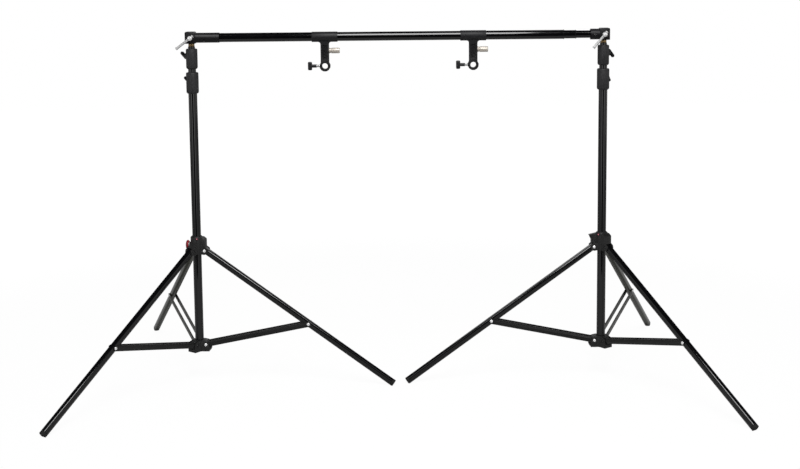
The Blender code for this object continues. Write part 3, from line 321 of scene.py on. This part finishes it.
for side in SIDES:
    for material, parts in STAND_FINISHES:
        for part in parts:
            paint(f"{side}_{part}", material)
    for leg in LEGS:
        paint_leg(side, leg)
for number in TUBES:
    paint(f"bar_tube_{number}", lengthwise)
paint("bar_end_screw", steel)
for number in BRACKETS:
    paint(f"bracket_{number}", smooth_moulded)
    paint(f"bracket_{number}_stud", stud_steel)
    paint(f"bracket_{number}_knob", knob_black)


# Smooth shading and softened edges of the solids

SHARP_ANGLE = math.radians(38)
SHARP_LEG_ANGLE = math.radians(60)
BEVEL_ANGLE = math.radians(32)
WELD_DISTANCE = 0.005 * MM

# Rounding in millimetres of the nodes whose names end so
ROUNDINGS = {"leg_hub": 0.6, "base_hub": 0.6, "socket": 0.7, "collar": 0.3, "bracket_1": 0.5,
             "bracket_2": 0.5, "upper_knob": 0.8, "lower_knob": 0.8, "hub_knob": 0.5, "1_knob": 2.0,
             "2_knob": 2.0, "foot": 2.4, "brace": 0.2, "spigot": 0.2, "tommy_bar": 0.2, "clamp_screw": 0.5,
             "stud": 0.2}


def shading_group(limit):
    """Node group that shades faces smoothly and keeps the edges sharper than an angle."""
    group = bpy.data.node_groups.new("smooth_by_angle", "GeometryNodeTree")
    group.interface.new_socket("Geometry", in_out="INPUT", socket_type="NodeSocketGeometry")
    group.interface.new_socket("Geometry", in_out="OUTPUT", socket_type="NodeSocketGeometry")
    start = add(group, "NodeGroupInput")
    end = add(group, "NodeGroupOutput")
    faces = add(group, "GeometryNodeSetShadeSmooth", domain="FACE")
    edges = add(group, "GeometryNodeSetShadeSmooth", domain="EDGE")
    angle = add(group, "GeometryNodeInputMeshEdgeAngle")
    flat = put(add(group, "FunctionNodeCompare", data_type="FLOAT", operation="LESS_THAN"), B=limit)
    forget = put(add(group, "GeometryNodeRemoveAttribute"), Name="custom_normal")
    link = group.links.new
    link(start.outputs[0], forget.inputs[0])
    link(forget.outputs[0], faces.inputs["Geometry"])
    link(faces.outputs[0], edges.inputs["Geometry"])
    link(angle.outputs["Unsigned Angle"], flat.inputs["A"])
    link(flat.outputs["Result"], edges.inputs["Shade Smooth"])
    link(edges.outputs[0], end.inputs[0])
    return group


def soften(piece, rounding, shading):
    """Welds a piece's corners, rounds its sharp edges a little and shades it smoothly."""
    weld = piece.modifiers.new("weld", "WELD")
    weld.merge_threshold = WELD_DISTANCE
    if rounding:
        edge = piece.modifiers.new("edges", "BEVEL")
        edge.width = rounding
        edge.segments = 2
        edge.limit_method = "ANGLE"
        edge.angle_limit = BEVEL_ANGLE
        edge.use_clamp_overlap = True
        edge.miter_outer = "MITER_ARC"
    smooth = piece.modifiers.new("shading", "NODES")
    smooth.node_group = shading


smooth_shading = shading_group(SHARP_ANGLE)
leg_shading = shading_group(SHARP_LEG_ANGLE)
for name, node in nodes.items():
    rounding = max((value * MM for ending, value in ROUNDINGS.items() if name.endswith(ending)), default=0.0)
    soften(node, rounding, leg_shading if name.endswith("leg") else smooth_shading)


# Builders of the added pieces

MERGE_DISTANCE = 0.001 * MM


def piece_from(bm, name, material, matrix=None):
    """Object of a finished mesh, with one material and smooth shading."""
    if matrix is not None:
        bm.transform(matrix)
    bmesh.ops.remove_doubles(bm, verts=bm.verts, dist=MERGE_DISTANCE)
    bmesh.ops.recalc_face_normals(bm, faces=bm.faces)
    mesh = bpy.data.meshes.new(name)
    bm.to_mesh(mesh)
    bm.free()
    piece = bpy.data.objects.new(name, mesh)
    bpy.context.scene.collection.objects.link(piece)
    mesh.materials.append(material)
    mesh.shade_smooth()
    mesh.set_sharp_from_angle(angle=SHARP_ANGLE)
    return piece


def outline(points, start=0.0):
    """Outline of (radius, height) points in millimetres, the heights counted from a start in metres."""
    return [(radius * MM, start + height * MM) for radius, height in points]


def spun(bm, profile, matrix, sides=32):
    """Adds a solid of revolution of (radius, height) points about a matrix's Z axis."""
    others = set(bm.verts)
    rim = [bm.verts.new((radius, 0, height)) for radius, height in profile]
    edges = [bm.edges.new(pair) for pair in zip(rim, rim[1:] + rim[:1])
             if max(pair[0].co.x, pair[1].co.x) > 0]
    bmesh.ops.spin(bm, geom=rim + edges, axis=(0, 0, 1), cent=(0, 0, 0), steps=sides, angle=math.tau)
    bmesh.ops.transform(bm, matrix=matrix, verts=[vert for vert in bm.verts if vert not in others])


def towards(direction, at):
    """Matrix that takes +Z to a direction and the origin to a point."""
    turn = UP.rotation_difference(Vector(direction)).to_matrix().to_4x4()
    return Matrix.Translation(at) @ turn


# Rivet heads of the legs and braces: a low skirt, a dome and a small dimple on top

HEAD_RADIUS = 4.45 * MM
HEAD_HEIGHT = 1.95 * MM
HEAD_SKIRT = 0.35 * MM
HEAD_SIDES = 24
DOME_STEPS = 7
DIMPLE_RADIUS = 1.0 * MM
DIMPLE_FLOOR_RADIUS = 0.6 * MM
DIMPLE_DEPTH = 0.25 * MM
DIMPLE_MIDDLE_DEPTH = 0.3 * MM


def head_profile():
    """Half section of a rivet head, as (radius, height) points."""
    points = [(0, 0.0), (HEAD_RADIUS, 0.0), (HEAD_RADIUS, HEAD_SKIRT)]
    for step in range(1, DOME_STEPS):
        angle = math.radians(90 * step / DOME_STEPS)
        height = HEAD_SKIRT + (HEAD_HEIGHT - HEAD_SKIRT) * math.sin(angle)
        points.append((HEAD_RADIUS * math.cos(angle), height))
    points += [(DIMPLE_RADIUS, HEAD_HEIGHT), (DIMPLE_FLOOR_RADIUS, HEAD_HEIGHT - DIMPLE_DEPTH),
               (0, HEAD_HEIGHT - DIMPLE_MIDDLE_DEPTH)]
    return points


def rivet_head(name, body, at, pin, seat, near):
    """Bright head of a rivet, at the end of its pin that faces the viewer or at the other one."""
    sign = 1 if (pin.y < 0) == near else -1
    bm = bmesh.new()
    spun(bm, head_profile(), towards(pin * sign, at + pin * sign * seat), HEAD_SIDES)
    piece = piece_from(bm, name, rivet_metal)
    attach(piece, body)


for side in SIDES:
    for leg in LEGS:
        hub_at, pin = leg_pivot(side, leg), leg_pin(side, leg)
        leg_at = hub_at + leg_direction(side, leg) * LEG_PIN_DISTANCE
        base_at = Vector(joints[f"{side}_{leg}_brace_fold"]["pos_m"])
        # The front leg's rivets in the hubs have their heads on the far side
        near = leg != "front"
        rivet_head(f"{side}_{leg}_hub_rivet_head", f"{side}_{leg}_leg", hub_at, pin, HUB_PIN_SEAT, near)
        rivet_head(f"{side}_{leg}_leg_rivet_head", f"{side}_{leg}_brace", leg_at, pin, LEG_PIN_SEAT, True)
        rivet_head(f"{side}_{leg}_base_rivet_head", f"{side}_{leg}_brace", base_at, pin, BASE_PIN_SEAT, near)


# Trims of the hubs' knobs, whose outlines are in millimetres from the grip's inner or outer end

GRIP_LOBES = 8
STEPS_PER_LOBE = 8
LOBE_DEPTH = 1.1 * MM
GRIP_RADIUS = 13.0 * MM
GRIP_WEB_RADIUS = 9.0 * MM
GRIP_INNER_OUTLINE = ((5.0, 3.2), (9.0, 3.2), (11.6, 2.6), (13.0, 3.6))
GRIP_OUTER_OUTLINE = ((13.0, -2.6), (11.6, -1.6), (9.0, -2.2), (5.0, -2.2))
NECK_OUTLINE = ((0, -8.0), (2.5, -8.0), (2.5, 0), (6.8, 0), (6.8, 1.2), (5.8, 1.8), (5.8, 2.6), (6.8, 3.4),
                (0, 3.4))
BELT_INNER_OUTLINE = ((11.0, 4.6), (13.1, 4.6), (13.4, 5.2))
BELT_OUTER_OUTLINE = ((13.4, -4.0), (13.1, -3.4), (11.0, -3.4))
BELT_SIDES = 48
DISC_OUTLINE = ((0, -2.4), (6.6, -2.4), (6.6, -0.9), (5.6, -0.1), (2.0, 0), (1.6, -0.6), (0, -0.6))


def lobed_ring(profile):
    """Mesh of a ring about Z whose outside is drawn in between lobes."""
    bm = bmesh.new()
    count = GRIP_LOBES * STEPS_PER_LOBE
    rings = []
    for radius, height in profile:
        share = max(0.0, (radius - GRIP_WEB_RADIUS) / (GRIP_RADIUS - GRIP_WEB_RADIUS))
        ring = []
        for step in range(count):
            angle = math.tau * step / count
            reach = radius - LOBE_DEPTH / 2 * (1 - math.cos(GRIP_LOBES * angle)) * share
            ring.append(bm.verts.new((reach * math.cos(angle), reach * math.sin(angle), height)))
        rings.append(ring)
    for inner, outer in zip(rings, rings[1:]):
        for step in range(count):
            after = (step + 1) % count
            bm.faces.new((inner[step], inner[after], outer[after], outer[step]))
    bm.faces.new(rings[0])
    bm.faces.new(list(reversed(rings[-1])))
    return bm


def hub_knob(side):
    """Red lobed grip, bright neck with the screw's end behind it, dark belt and bright head."""
    joint = joints[f"{side}_hub_knob_spin"]
    place = towards(Vector(joint["axis"]).normalized(), Vector(joint["pos_m"]))
    start = HUB_BOSS_REACH + HUB_KNOB_GAP
    end = start + HUB_KNOB_LENGTH

    bm = lobed_ring(outline(GRIP_INNER_OUTLINE, start) + outline(GRIP_OUTER_OUTLINE, end))
    grip = piece_from(bm, f"{side}_hub_knob_grip", red, place)
    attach(grip, f"{side}_hub_knob")
    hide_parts(f"{side}_hub_knob")

    bm = bmesh.new()
    spun(bm, outline(NECK_OUTLINE, start), place)
    neck = piece_from(bm, f"{side}_hub_knob_neck", satin)
    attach(neck, f"{side}_hub_knob")

    bm = bmesh.new()
    spun(bm, outline(BELT_INNER_OUTLINE, start) + outline(BELT_OUTER_OUTLINE, end), place, BELT_SIDES)
    rim = piece_from(bm, f"{side}_hub_knob_rim", maroon)
    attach(rim, f"{side}_hub_knob")

    bm = bmesh.new()
    spun(bm, outline(DISC_OUTLINE, end), place)
    disc = piece_from(bm, f"{side}_hub_knob_disc", satin)
    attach(disc, f"{side}_hub_knob")


# Pale red dot in a dark seat, on the hub's sleeve below its chamfer and beside its first leg

FIRST_LEG = {"left": "inner", "right": "front"}
DOT_BEARING = math.radians(75)
DOT_DROP = 2.6 * MM
SEAT_OUTLINE = ((0, -1.2), (3.2, -1.2), (3.2, 0.4), (2.7, 0.8), (0, 0.8))
DOT_OUTLINE = ((0, 0.7), (1.5, 0.7), (1.4, 1.2), (0.8, 1.5), (0, 1.6))


def hub_dot(side):
    """Dot and its seat, turned from the first leg by the dot's bearing."""
    first = outward(side, FIRST_LEG[side])
    turn = math.atan2(first.y, first.x) - DOT_BEARING
    facing = Vector((math.cos(turn), math.sin(turn), 0))
    at = column_axis(side) + facing * HUB_SLEEVE_RADIUS
    at.z = HUB_PIVOT_HEIGHT + HUB_TOP - HUB_TOP_CHAMFER - DOT_DROP
    bm = bmesh.new()
    spun(bm, outline(SEAT_OUTLINE), towards(facing, at))
    seat = piece_from(bm, f"{side}_hub_dot_seat", maroon)
    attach(seat, f"{side}_leg_hub")
    bm = bmesh.new()
    spun(bm, outline(DOT_OUTLINE), towards(facing, at))
    dot = piece_from(bm, f"{side}_hub_dot", pink)
    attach(dot, f"{side}_leg_hub")


for side in SIDES:
    hub_knob(side)
    hub_dot(side)


# Brackets: crossed ribs in the web, the knob's grip and the bright screw, with outlines and thread in mm

RIB_CELLS = 4
RIB_CELLS_START = 25.5 * MM
RIB_CELL_HEIGHT = 9.5 * MM
RIB_HALF_SPAN = 8.0 * MM
RIB_WIDTH = 1.3 * MM
RIB_DEPTHS = (4.6 * MM, 6.9 * MM)

GRIP_THICKNESS = 12.0 * MM
GRIP_ROUNDING = 3.2 * MM
GRIP_OVERLAP = 1.0 * MM
RING_NECK_INNER_OUTLINE = ((0, 0), (4.2, 0), (4.7, 0.5))
RING_NECK_OUTER_OUTLINE = ((4.7, -3.0), (4.72, -1.6), (4.74, 0), (0, 0))
RING_NECK_SIDES = 24

THREAD_TURNS = 12
THREAD_START = 16.0
THREAD_PITCH = 0.7
THREAD_ROOT = 3.15
THREAD_CREST = 3.55
SCREW_PLAIN_OUTLINE = ((0, 9.0), (2.9, 9.0), (2.9, THREAD_START))
SCREW_SIDES = 20


def flat_bar(bm, start, end, width, depths):
    """Adds a flat bar between two points of the XZ plane and between two depths."""
    a, b = Vector(start), Vector(end)
    along = (b - a).normalized()
    across = Vector((-along.y, along.x)) * width / 2
    corners = [a + across, a - across, b - across, b + across]
    front, back = [[bm.verts.new((corner.x, depth, corner.y)) for corner in corners] for depth in depths]
    bm.faces.new(front)
    bm.faces.new(list(reversed(back)))
    for i in range(4):
        after = (i + 1) % 4
        bm.faces.new((front[i], back[i], back[after], front[after]))


def bracket_ribs(number):
    """Crossed ribs on the front and on the back of a bracket's web."""
    low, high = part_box(f"bracket_{number}")
    middle_x = (low.x + high.x) / 2
    middle_y = (low.y + high.y) / 2
    bar_z = joints[f"bracket_{number}_knob_spin"]["pos_m"][2] + RING_DROP
    for label, face in (("front", -1), ("back", 1)):
        bm = bmesh.new()
        depths = sorted(middle_y + face * depth for depth in RIB_DEPTHS)
        for cell in range(RIB_CELLS):
            top = bar_z - RIB_CELLS_START - cell * RIB_CELL_HEIGHT
            for span in (-RIB_HALF_SPAN, RIB_HALF_SPAN):
                start, end = (middle_x - span, top), (middle_x + span, top - RIB_CELL_HEIGHT)
                flat_bar(bm, start, end, RIB_WIDTH, depths)
        ribs = piece_from(bm, f"bracket_{number}_{label}_ribs", smooth_moulded)
        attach(ribs, f"bracket_{number}")


def bracket_grip(number):
    """Rounded grip and neck of the ring's knob."""
    knob = Vector(joints[f"bracket_{number}_knob_spin"]["pos_m"])
    low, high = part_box(f"bracket_{number}_knob")
    bm = bmesh.new()
    bmesh.ops.create_cube(bm, size=1.0)
    bmesh.ops.scale(bm, vec=(GRIP_THICKNESS, high.y - low.y, high.z - low.z), verts=bm.verts)
    bmesh.ops.bevel(bm, geom=list(bm.edges), offset=GRIP_ROUNDING, segments=4, profile=0.5, affect="EDGES")
    middle = Vector((low.x + GRIP_THICKNESS / 2, (low.y + high.y) / 2, (low.z + high.z) / 2))
    bmesh.ops.translate(bm, vec=middle, verts=bm.verts)
    neck_end = knob.x - low.x - GRIP_THICKNESS + GRIP_OVERLAP
    neck = outline(RING_NECK_INNER_OUTLINE, RING_NECK_START) + outline(RING_NECK_OUTER_OUTLINE, neck_end)
    spun(bm, neck, towards((-1, 0, 0), knob), RING_NECK_SIDES)
    grip = piece_from(bm, f"bracket_{number}_knob_grip", knob_black)
    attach(grip, f"bracket_{number}_knob")
    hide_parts(f"bracket_{number}_knob")


def screw_thread(number):
    """Screw between the ring and the knob's neck, with its thread as rings of V shape."""
    knob = Vector(joints[f"bracket_{number}_knob_spin"]["pos_m"])
    points = list(SCREW_PLAIN_OUTLINE)
    for turn in range(THREAD_TURNS):
        height = THREAD_START + turn * THREAD_PITCH
        points += [(THREAD_ROOT, height), (THREAD_CREST, height + THREAD_PITCH / 2)]
    height = THREAD_START + THREAD_TURNS * THREAD_PITCH
    points += [(THREAD_ROOT, height), (0, height)]
    bm = bmesh.new()
    spun(bm, outline(points), towards((-1, 0, 0), knob), SCREW_SIDES)
    thread = piece_from(bm, f"bracket_{number}_screw_thread", steel)
    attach(thread, f"bracket_{number}_knob")


for number in BRACKETS:
    bracket_ribs(number)
    bracket_grip(number)
    screw_thread(number)


# Camera, its depth counted from the columns

CAMERA_OFFSET = Vector((-0.0201, -3.7186, 1.2201))
CAMERA_YAW = math.radians(0.3849)
CAMERA_PITCH = math.radians(-6.7632)
CAMERA_ROLL = math.radians(-0.5212)
CAMERA_LENS = 58.660
CAMERA_SENSOR = 36.0
CAMERA_SHIFT = -0.15
CAMERA_REACH = 100


def add_camera():
    """Camera of the picture, in front of the middle of the bar."""
    reach = math.cos(CAMERA_PITCH)
    forward = Vector((math.sin(CAMERA_YAW) * reach, math.cos(CAMERA_YAW) * reach, math.sin(CAMERA_PITCH)))
    level = forward.cross(UP).normalized()
    above = level.cross(forward).normalized()
    right = level * math.cos(CAMERA_ROLL) + above * math.sin(CAMERA_ROLL)
    up = above * math.cos(CAMERA_ROLL) - level * math.sin(CAMERA_ROLL)
    data = bpy.data.cameras.new("camera")
    data.sensor_width = CAMERA_SENSOR
    data.lens = CAMERA_LENS
    data.shift_y = CAMERA_SHIFT
    data.clip_end = CAMERA_REACH
    camera = bpy.data.objects.new("camera", data)
    bpy.context.scene.collection.objects.link(camera)
    pose = Matrix((right, up, -forward)).transposed().to_4x4()
    pose.translation = CAMERA_OFFSET + Vector((0, column_axis("left").y, 0))
    camera.matrix_world = pose
    bpy.context.scene.camera = camera


add_camera()


# Lamps

def soft_box(name, at, target, width, height, brightness):
    """Rectangular lamp whose face has a given brightness and looks at a point."""
    data = bpy.data.lights.new(name, "AREA")
    data.shape = "RECTANGLE"
    data.size = width
    data.size_y = height
    data.energy = brightness * width * height * math.pi
    lamp = bpy.data.objects.new(name, data)
    bpy.context.scene.collection.objects.link(lamp)
    lamp.location = at
    lamp.rotation_euler = (Vector(target) - Vector(at)).to_track_quat("-Z", "Y").to_euler()
    lamp.visible_camera = False


soft_box("main_box", (0.19, -2.3, 3.5), (0.35, 0, 1.0), 1.09, 2.2, 18.0)
soft_box("right_top_box", (1.95, -3.3, 5.3), (0, -0.2, 0.3), 0.8, 1.6, 12.0)
soft_box("left_top_box", (-1.95, -3.3, 5.3), (0, -0.2, 0.3), 0.8, 1.6, 12.0)
soft_box("back_box", (0, 3.4, 2.6), (0, 0, 0.5), 4.0, 0.9, 2.0)


# World: white where the camera sees it, and where a reflection looks at the backdrop or at the side walls.
# There are dark screens beside the backdrop, a dark ceiling, and a dark gap about the camera between two
# bright windows. An edge is where a level starts and ends its rise, as a share of a direction along one
# axis: X across, Y to the backdrop and Z up.

BACKDROP_EDGE = (0.93, 0.97)
WALL_BACK_EDGE = (0.75, 0.25)
WALL_SIDE_EDGE = (0.60, 0.95)
WALL_HEIGHT_EDGE = (0.75, 0.35)
WINDOW_INNER_EDGE = (0.30, 0.36)
WINDOW_OUTER_EDGE = (0.70, 0.50)
WINDOW_DEPTH_EDGE = (-0.5, -0.65)
WINDOW_SILL_EDGE = (-0.28, -0.08)
WINDOW_LEVEL = 3.0
SCREEN_LEVEL = 0.02
FILL_LEVEL = 0.25


def add_world():
    """World of the levels above, with a dim even fill for diffuse rays."""
    world = bpy.data.worlds.new("studio")
    bpy.context.scene.world = world
    world.use_nodes = True
    tree = world.node_tree
    tree.nodes.clear()
    split = add(tree, "ShaderNodeSeparateXYZ")
    tree.links.new(add(tree, "ShaderNodeTexCoord").outputs["Generated"], split.inputs[0])
    across = computed(tree, "ABSOLUTE", split.outputs["X"])
    depth = split.outputs["Y"]
    height = split.outputs["Z"]
    steepness = computed(tree, "ABSOLUTE", height)

    backdrop = rise(tree, depth, BACKDROP_EDGE)
    walls = computed(tree, "MULTIPLY", rise(tree, across, WALL_SIDE_EDGE), rise(tree, depth, WALL_BACK_EDGE))
    windows = computed(tree, "MULTIPLY", rise(tree, across, WINDOW_INNER_EDGE, WINDOW_LEVEL),
                       rise(tree, across, WINDOW_OUTER_EDGE))
    windows = computed(tree, "MULTIPLY", windows, rise(tree, depth, WINDOW_DEPTH_EDGE))
    windows = computed(tree, "MULTIPLY", windows, rise(tree, height, WINDOW_SILL_EDGE))
    walls = computed(tree, "ADD", walls, windows)
    walls = computed(tree, "MULTIPLY", walls, rise(tree, steepness, WALL_HEIGHT_EDGE))
    room = computed(tree, "MAXIMUM", computed(tree, "ADD", walls, SCREEN_LEVEL), backdrop)

    rays = add(tree, "ShaderNodeLightPath").outputs
    mirrored = computed(tree, "MAXIMUM", rays["Is Glossy Ray"], rays["Is Transmission Ray"])
    level = computed(tree, "MULTIPLY", mirrored, room)
    level = computed(tree, "MAXIMUM", level, rays["Is Camera Ray"])
    level = computed(tree, "MAXIMUM", level, computed(tree, "MULTIPLY", rays["Is Diffuse Ray"], FILL_LEVEL))
    sky = put(add(tree, "ShaderNodeBackground"), Color=(1, 1, 1, 1))
    tree.links.new(level, sky.inputs["Strength"])
    tree.links.new(sky.outputs[0], add(tree, "ShaderNodeOutputWorld").inputs["Surface"])


add_world()


# Floor: pale grey with its shadows, whitened for the camera, a little less near the stands than far off

FLOOR_LEFT, FLOOR_RIGHT = -6.0, 6.0
FLOOR_FRONT, FLOOR_BACK = -1.3, 7.0
FLOOR_GREY = 0.60
GLOW = 1.02
GLOW_SHARE = 0.94
FAR_GLOW_SHARE = 0.06
FAR_EDGE = (1.4, 2.6)


def floor_finish():
    """Material that mixes a pale floor with a white glow for the camera."""
    material = bpy.data.materials.new("floor")
    material.use_nodes = True
    tree = material.node_tree
    link = tree.links.new
    shader = put(tree.nodes["Principled BSDF"], Base_Color=(FLOOR_GREY, FLOOR_GREY, FLOOR_GREY, 1),
                 Roughness=0.9, Specular_IOR_Level=0.0)
    glow = put(add(tree, "ShaderNodeEmission"), Strength=GLOW)
    seen = add(tree, "ShaderNodeLightPath").outputs["Is Camera Ray"]
    distance = add(tree, "ShaderNodeVectorMath", operation="LENGTH")
    link(add(tree, "ShaderNodeTexCoord").outputs["Object"], distance.inputs[0])
    far = computed(tree, "MULTIPLY", seen, rise(tree, distance.outputs["Value"], FAR_EDGE, FAR_GLOW_SHARE))
    share = computed(tree, "ADD", far, computed(tree, "MULTIPLY", seen, GLOW_SHARE))
    blend = add(tree, "ShaderNodeMixShader")
    link(share, blend.inputs[0])
    link(shader.outputs[0], blend.inputs[1])
    link(glow.outputs[0], blend.inputs[2])
    link(blend.outputs[0], tree.nodes["Material Output"].inputs["Surface"])
    return material


bm = bmesh.new()
corners = ((FLOOR_LEFT, FLOOR_FRONT), (FLOOR_RIGHT, FLOOR_FRONT), (FLOOR_RIGHT, FLOOR_BACK),
           (FLOOR_LEFT, FLOOR_BACK))
bm.faces.new([bm.verts.new((x, y, 0)) for x, y in corners])
floor = piece_from(bm, "floor", floor_finish())

bpy.context.scene.view_settings.view_transform = "Standard"
